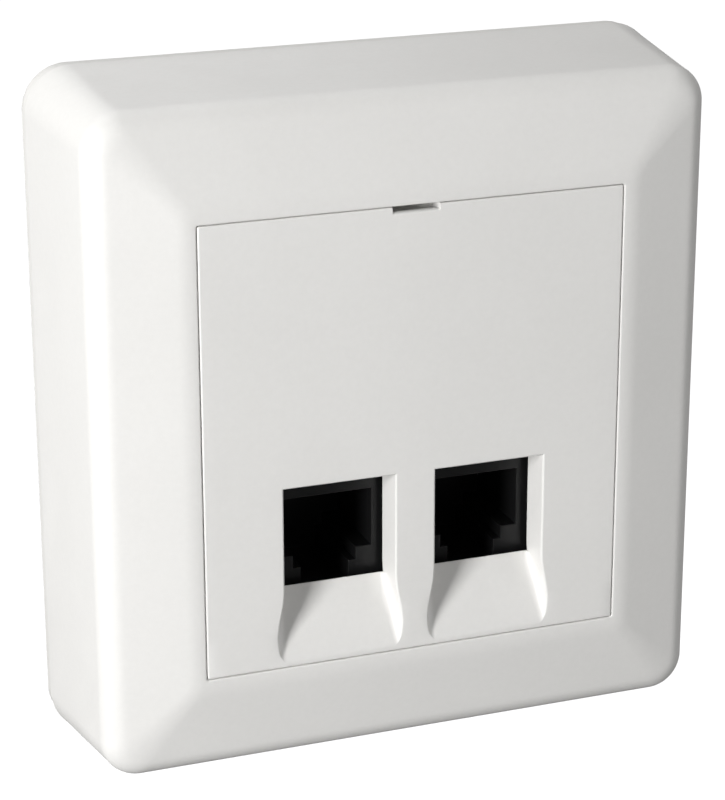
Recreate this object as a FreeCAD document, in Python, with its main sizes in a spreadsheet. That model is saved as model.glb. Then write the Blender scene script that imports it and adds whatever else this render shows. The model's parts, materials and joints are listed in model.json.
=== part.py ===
import FreeCAD, Part
import math
import os
from FreeCAD import Vector, Rotation, Placement

# Twin surface mount jack box. Millimetres. The wall is the plane Y = 0 and the front
# faces -Y, +Z is up. Depths below are distances out from the wall, so depth 24 is Y = -24.
# The origin is the middle of the rear face.

doc = FreeCAD.newDocument("jack_box")
sheet = doc.addObject("Spreadsheet::Sheet", "Dims")

DIMS = [
    # outer hood
    ("hood_half_wide", 40.0), ("hood_half_high", 42.24), ("hood_rear", 2.0), ("hood_edge", 21.49),
    ("hood_front", 24.0), ("side_inset_rear", 0.204), ("side_inset_edge", 2.19),
    ("corner_rear", 5.7), ("corner_edge", 4.7), ("edge_round", 3.4),
    ("band_half_wide", 27.5), ("band_half_high", 28.95), ("band_corner", 0.6),
    ("shell_wall", 2.0), ("cavity_depth", 19.9), ("inner_corner", 3.0),
    ("opening_half_wide", 26.1), ("opening_half_high", 27.5), ("seat_depth", 22.0),
    ("ledge_half_wide", 24.4), ("ledge_half_high", 25.8),
    # centre plate
    ("plate_half_wide", 25.94), ("plate_half_high", 27.34), ("plate_rear", 22.1), ("plate_front", 24.0),
    ("plate_corner", 0.5), ("window_inner", 2.5), ("window_outer", 16.4), ("window_top", 4.93),
    ("window_bottom", 18.95), ("collar_rear", 19.6), ("collar_wall", 1.1),
    ("ramp_start", 19.55), ("ramp_end", 26.85), ("ramp_back", 18.7), ("ramp_skin", 1.3),
    ("notch_half", 2.93), ("notch_high", 0.6), ("notch_deep", 1.1),
    ("arm_inner", 22.2), ("arm_outer", 23.6), ("arm_half", 4.0), ("arm_rear", 12.0),
    # base plate
    ("base_half_wide", 39.6), ("base_half_high", 41.84), ("base_corner", 5.4), ("base_thick", 1.8),
    ("lip_half_wide", 36.9), ("lip_half_high", 39.1), ("lip_corner", 4.0), ("lip_wall", 1.2), ("lip_top", 5.5),
    ("slot_pitch_half", 30.0), ("slot_radius", 2.2), ("slot_length", 7.0),
    ("entry_height", 29.3), ("entry_radius", 6.5),
    ("standoff_radius", 2.9), ("pilot_radius", 1.1), ("board_under", 3.6), ("board_top", 5.2),
    # circuit board
    ("board_half_wide", 22.8), ("board_low", 21.8), ("board_high", 19.4), ("board_corner", 1.0),
    ("board_screw_wide", 20.0), ("board_screw_high", 10.0), ("board_hole", 1.4),
    # jacks
    ("jack_middle", 9.45), ("jack_half_wide", 7.6), ("jack_top", 6.0), ("jack_bottom", 21.0), ("jack_front", 18.4),
    ("plug_half_wide", 5.95), ("plug_top", 8.4), ("plug_bottom", 15.7), ("plug_floor", 6.3),
    ("step_half_wide", 3.95), ("step_bottom", 17.3), ("key_half_wide", 3.0), ("key_bottom", 19.8),
    ("comb_half_wide", 4.7), ("comb_top", 7.35), ("comb_front", 17.1),
    ("wire_pitch", 1.02), ("wire_thick", 0.32), ("wire_length", 8.0), ("wire_slope", 24.0),
    ("wire_front", 16.4), ("wire_top", 8.75), ("curl_radius", 0.3),
    # terminal blocks
    ("block_middle", 11.3), ("block_half_wide", 8.9), ("block_low", 4.6), ("block_high", 17.0),
    ("block_base", 8.2), ("block_top", 15.5), ("row_thick", 4.6), ("cell_pitch", 4.2),
    ("lead_slot", 1.0), ("lead_slot_deep", 5.2), ("blade_slot_wide", 3.0), ("blade_slot_thick", 0.7),
    ("blade_wide", 2.7), ("blade_thick", 0.45), ("blade_rise", 14.5), ("blade_slit", 0.4),
    # carrier frame
    ("carrier_half_wide", 25.6), ("carrier_low", 23.8), ("carrier_high", 21.2), ("carrier_wall", 1.7),
    ("carrier_top", 8.4), ("post_half", 5.2), ("post_top", 18.6), ("ear_half", 3.6), ("ear_out", 7.0), ("ear_top", 4.0),
    ("ear_height", 14.0), ("ear_hole", 1.5),
    # fasteners
    ("screw_shank", 1.05), ("screw_head", 2.3), ("screw_head_thick", 1.5), ("screw_slot", 0.6), ("screw_slot_deep", 0.6),
    # cable clamp and bush
    ("clamp_wide", 20.0), ("clamp_half_wide", 2.8), ("clamp_half_high", 7.6), ("clamp_under", 6.0), ("clamp_thick", 1.8),
    ("clamp_screw_off", 5.4), ("clamp_arch", 2.7), ("clamp_boss", 2.2),
    ("bush_bore", 3.5), ("bush_flange", 7.9), ("bush_rim", 1.1),
]
VAL = {}
for row, (name, value) in enumerate(DIMS, start=1):
    sheet.set("A%d" % row, name)
    sheet.set("B%d" % row, repr(value))
    sheet.setAlias("B%d" % row, name)
    VAL[name] = value
doc.recompute()


class Size:
    """A number together with the spreadsheet expression that gives it."""

    def __init__(self, value, text):
        self.v = float(value)
        self.t = text

    def __add__(self, other):
        o = size(other)
        return Size(self.v + o.v, "(%s + %s)" % (self.t, o.t))

    def __sub__(self, other):
        o = size(other)
        return Size(self.v - o.v, "(%s - %s)" % (self.t, o.t))

    def __mul__(self, other):
        o = size(other)
        return Size(self.v * o.v, "(%s * %s)" % (self.t, o.t))

    def __truediv__(self, other):
        o = size(other)
        return Size(self.v / o.v, "(%s / %s)" % (self.t, o.t))

    def __neg__(self):
        return Size(-self.v, "(0 - %s)" % self.t)


def size(x):
    if isinstance(x, Size):
        return x
    return Size(x, repr(float(x)))


def D(name):
    return Size(VAL[name], "Dims." + name)


def plane(body, role):
    for feature in body.Origin.OriginFeatures:
        if feature.Role == role:
            return feature
    raise RuntimeError("no plane " + role)


def new_body(label):
    body = doc.addObject("PartDesign::Body", label)
    body.Label = label
    return body


def new_sketch(body, name, depth, role="XZ_Plane"):
    sk = body.newObject("Sketcher::SketchObject", name)
    sk.AttachmentSupport = [(plane(body, role), "")]
    sk.MapMode = "FlatFace"
    depth = size(depth)
    sk.AttachmentOffset = Placement(Vector(0, 0, depth.v), Rotation())
    sk.setExpression("AttachmentOffset.Base.z", depth.t)
    return sk


def datum(sk, constraint, expression):
    index = sk.addConstraint(constraint)
    sk.setExpression("Constraints[%d]" % index, expression)


def at(sk, geo, pos, x, y):
    """Holds one point of the sketch at x, y from its origin."""
    import Sketcher
    x, y = size(x), size(y)
    if abs(x.v) < 1e-9:
        sk.addConstraint(Sketcher.Constraint("PointOnObject", geo, pos, -2))
    else:
        datum(sk, Sketcher.Constraint("DistanceX", -1, 1, geo, pos, x.v), x.t)
    if abs(y.v) < 1e-9:
        sk.addConstraint(Sketcher.Constraint("PointOnObject", geo, pos, -1))
    else:
        datum(sk, Sketcher.Constraint("DistanceY", -1, 1, geo, pos, y.v), y.t)


def poly(sk, points):
    """Closed outline through the points, each held by its own two dimensions."""
    import Sketcher
    points = [(size(x), size(y)) for x, y in points]
    first = sk.GeometryCount
    n = len(points)
    for i in range(n):
        a, b = points[i], points[(i + 1) % n]
        sk.addGeometry(Part.LineSegment(Vector(a[0].v, a[1].v, 0), Vector(b[0].v, b[1].v, 0)), False)
    for i in range(n):
        sk.addConstraint(Sketcher.Constraint("Coincident", first + i, 2, first + (i + 1) % n, 1))
    for i in range(n):
        at(sk, first + i, 1, points[i][0], points[i][1])


def rect(sk, x0, x1, y0, y1):
    poly(sk, [(x0, y0), (x1, y0), (x1, y1), (x0, y1)])


def circle(sk, x, y, radius):
    import Sketcher
    x, y, radius = size(x), size(y), size(radius)
    g = sk.addGeometry(Part.Circle(Vector(x.v, y.v, 0), Vector(0, 0, 1), radius.v), False)
    datum(sk, Sketcher.Constraint("Radius", g, radius.v), radius.t)
    at(sk, g, 3, x, y)


def round_rect(sk, hw, hh, radius):
    """Rounded rectangle about the sketch origin, by half sizes and corner radius."""
    import Sketcher
    hw, hh, radius = size(hw), size(hh), size(radius)
    a, b, c = hw.v, hh.v, radius.v
    corners = [(a - c, b - c, 0), (-a + c, b - c, 90), (-a + c, -b + c, 180), (a - c, -b + c, 270)]
    first = sk.GeometryCount
    for cx, cy, start in corners:
        base = Part.Circle(Vector(cx, cy, 0), Vector(0, 0, 1), c)
        sk.addGeometry(Part.ArcOfCircle(base, math.radians(start), math.radians(start + 90)), False)
    ends = []
    for cx, cy, start in corners:
        s0, s1 = math.radians(start), math.radians(start + 90)
        ends.append((Vector(cx + c * math.cos(s0), cy + c * math.sin(s0), 0),
                     Vector(cx + c * math.cos(s1), cy + c * math.sin(s1), 0)))
    for i in range(4):
        sk.addGeometry(Part.LineSegment(ends[i][1], ends[(i + 1) % 4][0]), False)
    for i in range(4):
        line, nxt = first + 4 + i, first + (i + 1) % 4
        sk.addConstraint(Sketcher.Constraint("Tangent", first + i, 2, line, 1))
        sk.addConstraint(Sketcher.Constraint("Tangent", line, 2, nxt, 1))
    for i in range(1, 4):
        sk.addConstraint(Sketcher.Constraint("Equal", first, first + i))
    sk.addConstraint(Sketcher.Constraint("Horizontal", first + 4))
    sk.addConstraint(Sketcher.Constraint("Vertical", first + 5))
    datum(sk, Sketcher.Constraint("Radius", first, c), radius.t)
    datum(sk, Sketcher.Constraint("DistanceX", -1, 1, first, 1, a), hw.t)
    datum(sk, Sketcher.Constraint("DistanceX", first + 5, 1, -1, 1, a), hw.t)
    datum(sk, Sketcher.Constraint("DistanceY", -1, 1, first, 2, b), hh.t)
    datum(sk, Sketcher.Constraint("DistanceY", first + 6, 1, -1, 1, b), hh.t)


def feature(body, kind, name):
    return body.newObject("PartDesign::" + kind, name)


def volume(body):
    return body.Shape.Volume


def pad(body, name, sk, length):
    length = size(length)
    f = feature(body, "Pad", name)
    f.Profile = sk
    f.Length = length.v
    f.setExpression("Length", length.t)
    doc.recompute()
    return f


def pocket(body, name, sk, length, away=False):
    """Cuts from the sketch back towards the wall, or away from it."""
    before = volume(body)
    length = size(length)
    f = feature(body, "Pocket", name)
    f.Profile = sk
    f.Length = length.v
    f.setExpression("Length", length.t)
    f.Reversed = away
    doc.recompute()
    if not volume(body) < before - 1e-6:
        raise RuntimeError("pocket %s cuts nothing" % name)
    return f


def prism(body, name, x0, x1, z0, z1, low, high):
    sk = new_sketch(body, name + "_outline", low)
    rect(sk, x0, x1, z0, z1)
    return pad(body, name, sk, size(high) - low)


def cut(body, name, x0, x1, z0, z1, top, deep):
    sk = new_sketch(body, name + "_outline", top)
    rect(sk, x0, x1, z0, z1)
    return pocket(body, name, sk, deep)


def fillet(body, name, base, edges, radius):
    f = feature(body, "Fillet", name)
    f.Base = (base, edges)
    f.Radius = size(radius).v
    f.setExpression("Radius", size(radius).t)
    doc.recompute()
    return f


def edges_where(shape, test):
    return ["Edge%d" % i for i, e in enumerate(shape.Edges, start=1) if test(e)]


def box(name, x, y, z, lx, ly, lz):
    b = doc.addObject("Part::Box", name)
    for prop, s in (("Length", lx), ("Width", ly), ("Height", lz)):
        s = size(s)
        setattr(b, prop, s.v)
        b.setExpression(prop, s.t)
    b.Placement = Placement(Vector(size(x).v, size(y).v, size(z).v), Rotation())
    for prop, s in (("x", x), ("y", y), ("z", z)):
        b.setExpression("Placement.Base." + prop, size(s).t)
    return b


def rod(name, x, z, radius, low, high):
    """Cylinder along the depth direction, from depth low to depth high."""
    c = doc.addObject("Part::Cylinder", name)
    x, z, radius, low, length = size(x), size(z), size(radius), size(low), size(high) - low
    c.Radius = radius.v
    c.Height = length.v
    c.setExpression("Radius", radius.t)
    c.setExpression("Height", length.t)
    c.Placement = Placement(Vector(x.v, -low.v, z.v), Rotation(Vector(1, 0, 0), 90))
    c.setExpression("Placement.Base.x", x.t)
    c.setExpression("Placement.Base.y", (-low).t)
    c.setExpression("Placement.Base.z", z.t)
    return c


def fuse(name, parts):
    f = doc.addObject("Part::MultiFuse", name)
    f.Shapes = parts
    return f


def subtract(name, base, tool):
    c = doc.addObject("Part::Cut", name)
    c.Base = base
    c.Tool = tool
    return c


def group(label, parts):
    g = doc.addObject("Part::Compound", label)
    g.Label = label
    g.Links = parts
    return g


NODES = []

# ---------------------------------------------------------------- hood
hood = new_body("hood")
rear_outline = new_sketch(hood, "hood_rear_outline", D("hood_rear"))
round_rect(rear_outline, D("hood_half_wide") - D("side_inset_rear"), D("hood_half_high") - D("side_inset_rear"), D("corner_rear"))
edge_outline = new_sketch(hood, "hood_edge_outline", D("hood_edge"))
round_rect(edge_outline, D("hood_half_wide") - D("side_inset_edge"), D("hood_half_high") - D("side_inset_edge"), D("corner_edge"))
walls = feature(hood, "AdditiveLoft", "hood_walls")
walls.Profile = rear_outline
walls.Sections = [(edge_outline, [""])]
walls.Ruled = True
doc.recompute()
edge_again = new_sketch(hood, "hood_slope_outline", D("hood_edge"))
round_rect(edge_again, D("hood_half_wide") - D("side_inset_edge"), D("hood_half_high") - D("side_inset_edge"), D("corner_edge"))
band_outline = new_sketch(hood, "hood_band_outline", D("hood_front"))
round_rect(band_outline, D("band_half_wide"), D("band_half_high"), D("band_corner"))
slope = feature(hood, "AdditiveLoft", "hood_slope")
slope.Profile = edge_again
slope.Sections = [(band_outline, [""])]
slope.Ruled = True
doc.recompute()
edge_y = -VAL["hood_edge"]
ring = edges_where(slope.Shape, lambda e: abs(e.BoundBox.YMin - edge_y) < 1e-4 and abs(e.BoundBox.YMax - edge_y) < 1e-4)
rounded = fillet(hood, "hood_edge_round", slope, ring, D("edge_round"))

# hollow inside, the same taper as the outside
wall = D("shell_wall")
in_rear = new_sketch(hood, "hood_inside_rear", D("hood_rear"))
round_rect(in_rear, D("hood_half_wide") - D("side_inset_rear") - wall, D("hood_half_high") - D("side_inset_rear") - wall, D("inner_corner") + 1.4)
in_front = new_sketch(hood, "hood_inside_front", D("cavity_depth"))
round_rect(in_front, D("hood_half_wide") - D("side_inset_edge") - wall, D("hood_half_high") - D("side_inset_edge") - wall, D("inner_corner"))
hollow = feature(hood, "SubtractiveLoft", "hood_hollow")
before = volume(hood)
hollow.Profile = in_rear
hollow.Sections = [(in_front, [""])]
hollow.Ruled = True
doc.recompute()
if not volume(hood) < before * 0.6:
    raise RuntimeError("hood is not hollow")
sk = new_sketch(hood, "hood_opening_outline", D("hood_front"))
rect(sk, -D("opening_half_wide"), D("opening_half_wide"), -D("opening_half_high"), D("opening_half_high"))
pocket(hood, "hood_opening", sk, D("hood_front") - D("seat_depth"))
sk = new_sketch(hood, "hood_ledge_outline", D("seat_depth"))
rect(sk, -D("ledge_half_wide"), D("ledge_half_wide"), -D("ledge_half_high"), D("ledge_half_high"))
pocket(hood, "hood_ledge", sk, D("seat_depth") - D("cavity_depth") + 0.5)
NODES.append(hood)

# ---------------------------------------------------------------- centre plate
plate = new_body("centre_plate")
sk = new_sketch(plate, "plate_outline", D("plate_rear"))
round_rect(sk, D("plate_half_wide"), D("plate_half_high"), D("plate_corner"))
pad(plate, "plate_sheet", sk, D("plate_front") - D("plate_rear"))
for side, tag in ((-1, "left"), (1, "right")):
    xa, xb = D("window_inner") * side, D("window_outer") * side
    ca, cb = (D("window_inner") - D("collar_wall")) * side, (D("window_outer") + D("collar_wall")) * side
    prism(plate, "collar_" + tag, ca, cb, -(D("window_bottom") + D("collar_wall")), -(D("window_top") - D("collar_wall")),
          D("collar_rear"), D("plate_rear") + 0.2)
    # skin under the finger scoop, drawn in the depth-height plane and padded sideways
    sk = new_sketch(plate, "ramp_block_%s_outline" % tag, ca if side > 0 else cb, "YZ_Plane")
    poly(sk, [(-D("ramp_back"), -D("window_bottom")), (-D("ramp_back"), -(D("window_bottom") + D("ramp_skin"))),
              (-(D("plate_rear") + 0.2), -(D("ramp_end") - 1.6)), (-(D("plate_rear") + 0.2), -D("window_bottom"))])
    pad(plate, "ramp_block_" + tag, sk, D("window_outer") - D("window_inner") + D("collar_wall") * 2)
    cut(plate, "window_" + tag, xa, xb, -D("window_bottom"), -D("window_top"), D("plate_front"), D("plate_front") - D("collar_rear") + 3)
    sk = new_sketch(plate, "scoop_%s_outline" % tag, xb if side > 0 else xa, "YZ_Plane")
    poly(sk, [(-D("ramp_start"), -D("window_bottom")), (-D("plate_front"), -D("ramp_end")),
              (-(D("plate_front") + 0.5), -D("ramp_end")), (-(D("plate_front") + 0.5), -(D("window_bottom") - 1)),
              (-D("ramp_start"), -(D("window_bottom") - 1))])
    pocket(plate, "scoop_" + tag, sk, D("window_outer") - D("window_inner"))
    aa, ab = D("arm_inner") * side, D("arm_outer") * side
    prism(plate, "arm_" + tag, aa, ab, -D("arm_half"), D("arm_half"), D("arm_rear"), D("plate_rear") + 0.2)
cut(plate, "pry_notch", -D("notch_half"), D("notch_half"), D("plate_half_high") - D("notch_high"), D("plate_half_high") + 0.5,
    D("plate_front"), D("notch_deep"))
NODES.append(plate)

# ---------------------------------------------------------------- base plate
base = new_body("base_plate")
sk = new_sketch(base, "base_outline", 0.0)
round_rect(sk, D("base_half_wide"), D("base_half_high"), D("base_corner"))
pad(base, "base_floor", sk, D("base_thick"))
sk = new_sketch(base, "lip_outline", D("base_thick"))
round_rect(sk, D("lip_half_wide"), D("lip_half_high"), D("lip_corner"))
round_rect(sk, D("lip_half_wide") - D("lip_wall"), D("lip_half_high") - D("lip_wall"), D("lip_corner") - D("lip_wall"))
pad(base, "base_lip", sk, D("lip_top") - D("base_thick"))
for side, tag in ((-1, "left"), (1, "right")):
    for high, name in ((-D("board_screw_high"), "low"), (D("board_screw_high") - 8.6, "mid")):
        sk = new_sketch(base, "standoff_%s_%s_outline" % (tag, name), D("base_thick"))
        circle(sk, D("board_screw_wide") * side, high, D("standoff_radius"))
        pad(base, "standoff_%s_%s" % (tag, name), sk, D("board_under") - D("base_thick"))
    sk = new_sketch(base, "ear_seat_%s_outline" % tag, D("base_thick"))
    circle(sk, (D("carrier_half_wide") + D("ear_out") / 2) * side, D("ear_height"), D("standoff_radius"))
    circle(sk, (D("carrier_half_wide") + D("ear_out") / 2) * side, -D("ear_height"), D("standoff_radius"))
    pad(base, "ear_seat_" + tag, sk, 0.5)
for sign, tag in ((1, "upper"), (-1, "lower")):
    sk = new_sketch(base, "clamp_boss_%s_outline" % tag, D("base_thick"))
    circle(sk, D("clamp_wide"), D("entry_height") + D("clamp_screw_off") * sign, D("clamp_boss"))
    pad(base, "clamp_boss_" + tag, sk, D("clamp_under") - D("base_thick"))
sk = new_sketch(base, "pilot_outline", D("board_under"))
for side in (-1, 1):
    circle(sk, D("board_screw_wide") * side, -D("board_screw_high"), D("pilot_radius"))
pocket(base, "board_pilots", sk, D("board_under") - 0.6)
sk = new_sketch(base, "ear_pilot_outline", D("base_thick") + 0.5)
for side in (-1, 1):
    for sign in (-1, 1):
        circle(sk, (D("carrier_half_wide") + D("ear_out") / 2) * side, D("ear_height") * sign, D("pilot_radius"))
pocket(base, "ear_pilots", sk, D("base_thick") + 0.5 - 0.4)
sk = new_sketch(base, "clamp_pilot_outline", D("clamp_under"))
for sign in (-1, 1):
    circle(sk, D("clamp_wide"), D("entry_height") + D("clamp_screw_off") * sign, D("pilot_radius"))
pocket(base, "clamp_pilots", sk, D("clamp_under") - 0.6)
sk = new_sketch(base, "entry_outline", D("base_thick"))
circle(sk, 0.0, D("entry_height"), D("entry_radius"))
pocket(base, "cable_entry", sk, D("base_thick"))
# wall screw slots: straight-sided with round ends, along X
import Sketcher
for side, tag in ((-1, "left"), (1, "right")):
    sk = new_sketch(base, "wall_slot_%s_outline" % tag, D("base_thick"))
    mid, rr, run = D("slot_pitch_half") * side, D("slot_radius"), D("slot_length") / 2 - D("slot_radius")
    x0, x1, r0 = (mid - run).v, (mid + run).v, rr.v
    sk.addGeometry(Part.ArcOfCircle(Part.Circle(Vector(x1, 0, 0), Vector(0, 0, 1), r0), -math.pi / 2, math.pi / 2), False)
    sk.addGeometry(Part.LineSegment(Vector(x1, r0, 0), Vector(x0, r0, 0)), False)
    sk.addGeometry(Part.ArcOfCircle(Part.Circle(Vector(x0, 0, 0), Vector(0, 0, 1), r0), math.pi / 2, 3 * math.pi / 2), False)
    sk.addGeometry(Part.LineSegment(Vector(x0, -r0, 0), Vector(x1, -r0, 0)), False)
    for i in range(4):
        sk.addConstraint(Sketcher.Constraint("Tangent", i, 2, (i + 1) % 4, 1))
    datum(sk, Sketcher.Constraint("Radius", 0, r0), rr.t)
    at(sk, 0, 3, mid + run, 0.0)
    at(sk, 2, 3, mid - run, 0.0)
    pocket(base, "wall_slot_" + tag, sk, D("base_thick"))
NODES.append(base)

# ---------------------------------------------------------------- circuit board
board = new_body("circuit_board")
prism(board, "board_sheet", -D("board_half_wide"), D("board_half_wide"), -D("board_low"), D("board_high"), D("board_under"), D("board_top"))
sk = new_sketch(board, "board_holes_outline", D("board_top"))
for side in (-1, 1):
    circle(sk, D("board_screw_wide") * side, -D("board_screw_high"), D("board_hole"))
pocket(board, "board_holes", sk, D("board_top") - D("board_under"))
NODES.append(board)

# ---------------------------------------------------------------- jacks
for side, tag in ((-1, "left"), (1, "right")):
    mid = D("jack_middle") * side
    jack = new_body("jack_housing_" + tag)
    prism(jack, "jack_block_" + tag, mid - D("jack_half_wide"), mid + D("jack_half_wide"), -D("jack_bottom"), -D("jack_top"),
          D("board_top"), D("jack_front"))
    deep = D("jack_front") - D("plug_floor")
    cut(jack, "plug_bay_" + tag, mid - D("plug_half_wide"), mid + D("plug_half_wide"), -D("plug_bottom"), -D("plug_top"), D("jack_front"), deep)
    cut(jack, "latch_step_" + tag, mid - D("step_half_wide"), mid + D("step_half_wide"), -D("step_bottom"), -(D("plug_bottom") - 0.2),
        D("jack_front"), deep)
    cut(jack, "latch_key_" + tag, mid - D("key_half_wide"), mid + D("key_half_wide"), -D("key_bottom"), -(D("step_bottom") - 0.2),
        D("jack_front"), deep)
    # seat of the wire comb: open to the plug bay, closed at the front face
    cut(jack, "comb_seat_" + tag, mid - D("comb_half_wide"), mid + D("comb_half_wide"), -(D("plug_top") + 0.1), -D("comb_top"),
        D("comb_front"), D("comb_front") - D("plug_floor"))
    NODES.append(jack)

    comb = new_body("contact_comb_" + tag)
    gap = 0.05
    prism(comb, "comb_block_" + tag, mid - D("comb_half_wide") + gap, mid + D("comb_half_wide") - gap,
          -(D("plug_top") - 0.05), -(D("comb_top") + gap), D("plug_floor") + gap, D("comb_front") - gap)
    sk = new_sketch(comb, "comb_groove_%s_outline" % tag, D("comb_front") - gap)
    rect(sk, mid - D("wire_pitch") * 3.5 - 0.25, mid - D("wire_pitch") * 3.5 + 0.25, -(D("plug_top") + 0.2), -(D("plug_top") - 0.45))
    groove = pocket(comb, "comb_groove_" + tag, sk, D("comb_front") - D("plug_floor") - gap * 2)
    row = feature(comb, "LinearPattern", "comb_grooves_" + tag)
    row.Originals = [groove]
    row.Direction = (sk, ["H_Axis"])
    row.Length = (D("wire_pitch") * 7).v
    row.setExpression("Length", (D("wire_pitch") * 7).t)
    row.Occurrences = 8
    comb.Tip = row
    doc.recompute()
    NODES.append(comb)

    wires = []
    for i in range(8):
        x = mid + D("wire_pitch") * (i - 3.5)
        leg = doc.addObject("Part::Box", "wire_leg_%s_%d" % (tag, i))
        leg.setExpression("Length", D("wire_thick").t)
        leg.setExpression("Width", D("wire_length").t)
        leg.setExpression("Height", D("wire_thick").t)
        leg.Placement = Placement(Vector((x - D("wire_thick") / 2).v, -VAL["wire_front"], -VAL["wire_top"] - VAL["wire_thick"] / 2),
                                  Rotation(Vector(1, 0, 0), -VAL["wire_slope"]))
        leg.setExpression("Placement.Base.x", (x - D("wire_thick") / 2).t)
        curl = doc.addObject("Part::Cylinder", "wire_curl_%s_%d" % (tag, i))
        curl.setExpression("Radius", D("curl_radius").t)
        curl.setExpression("Height", D("wire_thick").t)
        curl.Placement = Placement(Vector((x - D("wire_thick") / 2).v, -VAL["wire_front"], -VAL["wire_top"]), Rotation(Vector(0, 1, 0), 90))
        curl.setExpression("Placement.Base.x", (x - D("wire_thick") / 2).t)
        wires.append(fuse("wire_%s_%d" % (tag, i), [leg, curl]))
    NODES.append(group("contact_wires_" + tag, wires))

# ---------------------------------------------------------------- terminal blocks
for side, tag in ((-1, "left"), (1, "right")):
    mid = D("block_middle") * side
    block = new_body("idc_block_" + tag)
    prism(block, "block_foot_" + tag, mid - D("block_half_wide"), mid + D("block_half_wide"), D("block_low"), D("block_high"),
          D("board_top"), D("block_base"))
    for name, low in (("low", D("block_low")), ("high", D("block_high") - D("row_thick"))):
        prism(block, "block_row_%s_%s" % (name, tag), mid - D("block_half_wide"), mid + D("block_half_wide"), low, low + D("row_thick"),
              D("block_base") - 0.2, D("block_top"))
        first = mid - D("cell_pitch") * 1.5
        centre = low + D("row_thick") / 2
        sk = new_sketch(block, "lead_%s_%s_outline" % (name, tag), D("block_top"))
        rect(sk, first - D("lead_slot") / 2, first + D("lead_slot") / 2, low - 0.5, low + D("row_thick") + 0.5)
        lead = pocket(block, "lead_slot_%s_%s" % (name, tag), sk, D("lead_slot_deep"))
        sk2 = new_sketch(block, "blade_bay_%s_%s_outline" % (name, tag), D("block_top"))
        rect(sk2, first - D("blade_slot_wide") / 2, first + D("blade_slot_wide") / 2, centre - D("blade_slot_thick") / 2,
             centre + D("blade_slot_thick") / 2)
        bay = pocket(block, "blade_bay_%s_%s" % (name, tag), sk2, D("block_top") - D("board_top") - 0.8)
        row = feature(block, "LinearPattern", "cells_%s_%s" % (name, tag))
        row.Originals = [lead, bay]
        row.Direction = (sk, ["H_Axis"])
        row.Length = (D("cell_pitch") * 3).v
        row.setExpression("Length", (D("cell_pitch") * 3).t)
        row.Occurrences = 4
        block.Tip = row
        doc.recompute()
    NODES.append(block)

    blades = []
    for name, low in (("low", D("block_low")), ("high", D("block_high") - D("row_thick"))):
        centre = low + D("row_thick") / 2
        for i in range(4):
            x = mid + D("cell_pitch") * (i - 1.5)
            sheet_metal = box("blade_sheet_%s_%s_%d" % (tag, name, i), x - D("blade_wide") / 2, -D("blade_rise"), centre - D("blade_thick") / 2,
                              D("blade_wide"), D("blade_rise") - D("board_top") - 0.85, D("blade_thick"))
            slit = box("blade_slit_%s_%s_%d" % (tag, name, i), x - D("blade_slit") / 2, -D("blade_rise") - 1, centre - D("blade_thick"),
                       D("blade_slit"), 5.5, D("blade_thick") * 2)
            blades.append(subtract("blade_%s_%s_%d" % (tag, name, i), sheet_metal, slit))
    NODES.append(group("idc_contacts_" + tag, blades))

# ---------------------------------------------------------------- carrier frame
carrier = new_body("carrier_frame")
cw, cl, ch, ct = D("carrier_half_wide"), D("carrier_low"), D("carrier_high"), D("carrier_wall")
sk = new_sketch(carrier, "carrier_outline", D("base_thick"))
rect(sk, -cw, cw, -cl, ch)
rect(sk, -(cw - ct), cw - ct, -(cl - ct), ch - ct)
pad(carrier, "carrier_ring", sk, D("carrier_top") - D("base_thick"))
for side, tag in ((-1, "left"), (1, "right")):
    xo, xi = cw * side, (cw - ct) * side
    prism(carrier, "post_" + tag, xi, xo, -D("post_half"), D("post_half"), D("carrier_top") - 0.2, D("post_top"))
    for sign, name in ((1, "upper"), (-1, "lower")):
        z0, z1 = D("ear_height") * sign - D("ear_half"), D("ear_height") * sign + D("ear_half")
        prism(carrier, "ear_%s_%s" % (tag, name), (cw - 0.3) * side, (cw + D("ear_out")) * side, z0, z1, D("base_thick") + 0.5, D("ear_top"))
sk = new_sketch(carrier, "ear_hole_outline", D("ear_top"))
for side in (-1, 1):
    for sign in (-1, 1):
        circle(sk, (cw + D("ear_out") / 2) * side, D("ear_height") * sign, D("ear_hole"))
pocket(carrier, "ear_holes", sk, D("ear_top") - D("base_thick"))
# ways for the leads through the upper and lower walls
for tag, z0, z1 in (("upper", ch - ct - 0.5, ch + 0.5), ("lower", -(cl + 0.5), -(cl - ct - 0.5))):
    cut(carrier, "lead_way_" + tag, -9.0, 9.0, z0, z1, D("carrier_top"), 3.2)
NODES.append(carrier)


# ---------------------------------------------------------------- screws
def screw(name, x, z, seat, tip):
    shank = rod(name + "_shank", x, z, D("screw_shank"), tip, seat)
    head = rod(name + "_head", x, z, D("screw_head"), seat, size(seat) + D("screw_head_thick"))
    body = fuse(name + "_blank", [shank, head])
    top = size(seat) + D("screw_head_thick")
    slot = box(name + "_slot", size(x) - D("screw_head") - 0.2, -(top + 0.2), size(z) - D("screw_slot") / 2,
               D("screw_head") * 2 + 0.4, D("screw_slot_deep") + 0.2, D("screw_slot"))
    return subtract(name, body, slot)


NODES.append(group("board_screws", [screw("board_screw_%d" % i, D("board_screw_wide") * s, -D("board_screw_high"), D("board_top"), 0.9)
                                    for i, s in enumerate((-1, 1))]))
ear_x = D("carrier_half_wide") + D("ear_out") / 2
NODES.append(group("carrier_screws", [screw("carrier_screw_%d_%d" % (i, k), ear_x * s, D("ear_height") * g, D("ear_top"), 0.7)
                                      for i, s in enumerate((-1, 1)) for k, g in enumerate((-1, 1))]))

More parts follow.
